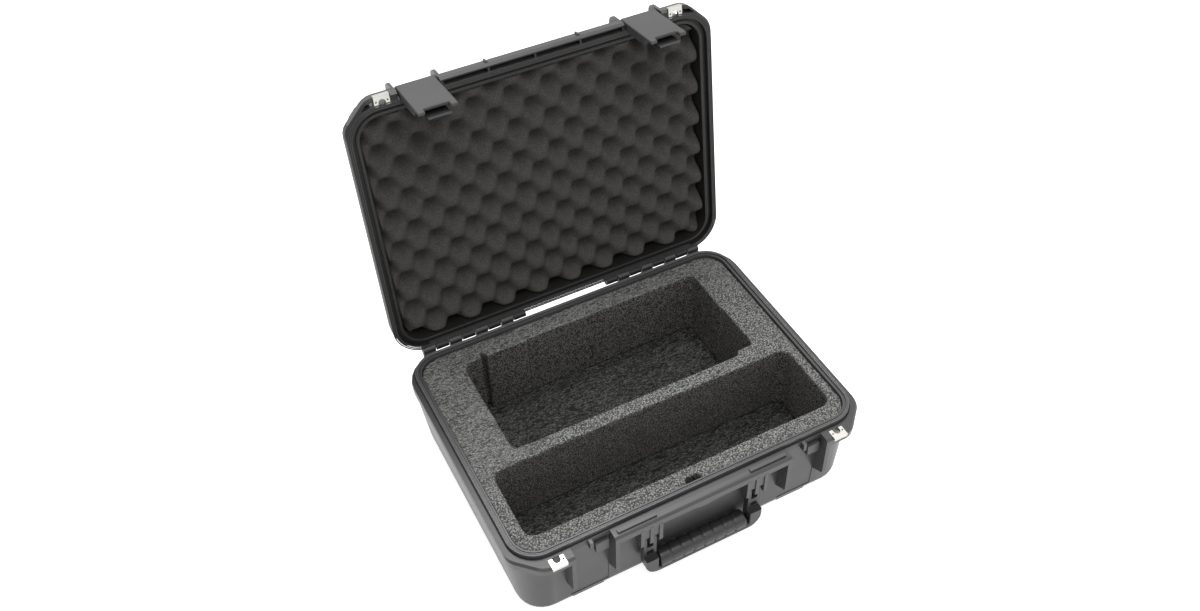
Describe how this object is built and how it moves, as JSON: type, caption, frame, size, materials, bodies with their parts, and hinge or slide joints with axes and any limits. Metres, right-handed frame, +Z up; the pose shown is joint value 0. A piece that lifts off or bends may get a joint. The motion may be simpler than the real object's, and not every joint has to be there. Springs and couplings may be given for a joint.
{
  "type": "mixer hard case",
  "caption": "Rigid moulded carrying case with a hinged foam-lined lid, snap latches, a folding handle and foam compartments for an audio mixer and its accessories.",
  "frame": {"origin": "middle of the flat underside, on the surface the case stands on", "axes": "+X to the right along the length, +Y from the handle side to the hinge side, +Z up"},
  "size_m": [0.521, 0.5145, 0.5406],
  "materials": {
    "shell_plastic": "fine moulded texture",
    "latch_plastic": "fine moulded texture",
    "grip_rubber": "soft and dull",
    "seal_rubber": "dull",
    "stainless": "satin",
    "block_foam": "open cell foam",
    "wave_foam": "open cell convoluted foam"
  },
  "bodies": {
    "base": {"base_shell": "shell_plastic", "hinge_pin_left": "stainless", "hinge_pin_right": "stainless", "padlock_plate_base_left": "stainless", "padlock_plate_base_right": "stainless", "handle_pin_left": "stainless", "handle_pin_right": "stainless", "pressure_valve": "shell_plastic", "valve_nut": "shell_plastic", "base_foam": "block_foam", "foam_floor_pad": "block_foam"},
    "lid": {"lid_shell": "shell_plastic", "lid_gasket": "seal_rubber", "lid_foam": "wave_foam", "padlock_plate_lid_left": "stainless", "padlock_plate_lid_right": "stainless", "latch_pin_left": "stainless", "latch_pin_right": "stainless"},
    "latch_left": {"latch_lever_left": "latch_plastic", "trigger_pin_left": "stainless"},
    "latch_right": {"latch_lever_right": "latch_plastic", "trigger_pin_right": "stainless"},
    "trigger_left": {"latch_trigger_left": "latch_plastic"},
    "trigger_right": {"latch_trigger_right": "latch_plastic"},
    "handle": {"handle_frame": "shell_plastic", "handle_grip": "grip_rubber"}
  },
  "joints": [
    {"name": "lid_hinge", "type": "hinge", "parent": "base", "child": "lid", "pos_m": [0, 0.1967, 0.134], "axis": [1, 0, 0], "range_deg": [0, 98]},
    {"name": "handle_hinge", "type": "hinge", "parent": "base", "child": "handle", "pos_m": [0, -0.1945, 0.0895], "axis": [-1, 0, 0], "range_deg": [0, 95]},
    {"name": "latch_left_hinge", "type": "hinge", "parent": "lid", "child": "latch_left", "pos_m": [-0.1575, 0.26111, 0.52403], "axis": [-1, 0, 0], "range_deg": [0, 100]},
    {"name": "latch_right_hinge", "type": "hinge", "parent": "lid", "child": "latch_right", "pos_m": [0.1575, 0.26111, 0.52403], "axis": [-1, 0, 0], "range_deg": [0, 100]},
    {"name": "trigger_left_hinge", "type": "hinge", "parent": "latch_left", "child": "trigger_left", "pos_m": [-0.1575, 0.20784, 0.5294], "axis": [1, 0, 0], "range_deg": [0, 15], "stiffness_Nm_per_rad": 0.02, "springref_deg": -20.05},
    {"name": "trigger_right_hinge", "type": "hinge", "parent": "latch_right", "child": "trigger_right", "pos_m": [0.1575, 0.20784, 0.5294], "axis": [1, 0, 0], "range_deg": [0, 15], "stiffness_Nm_per_rad": 0.02, "springref_deg": -20.05}
  ]
}
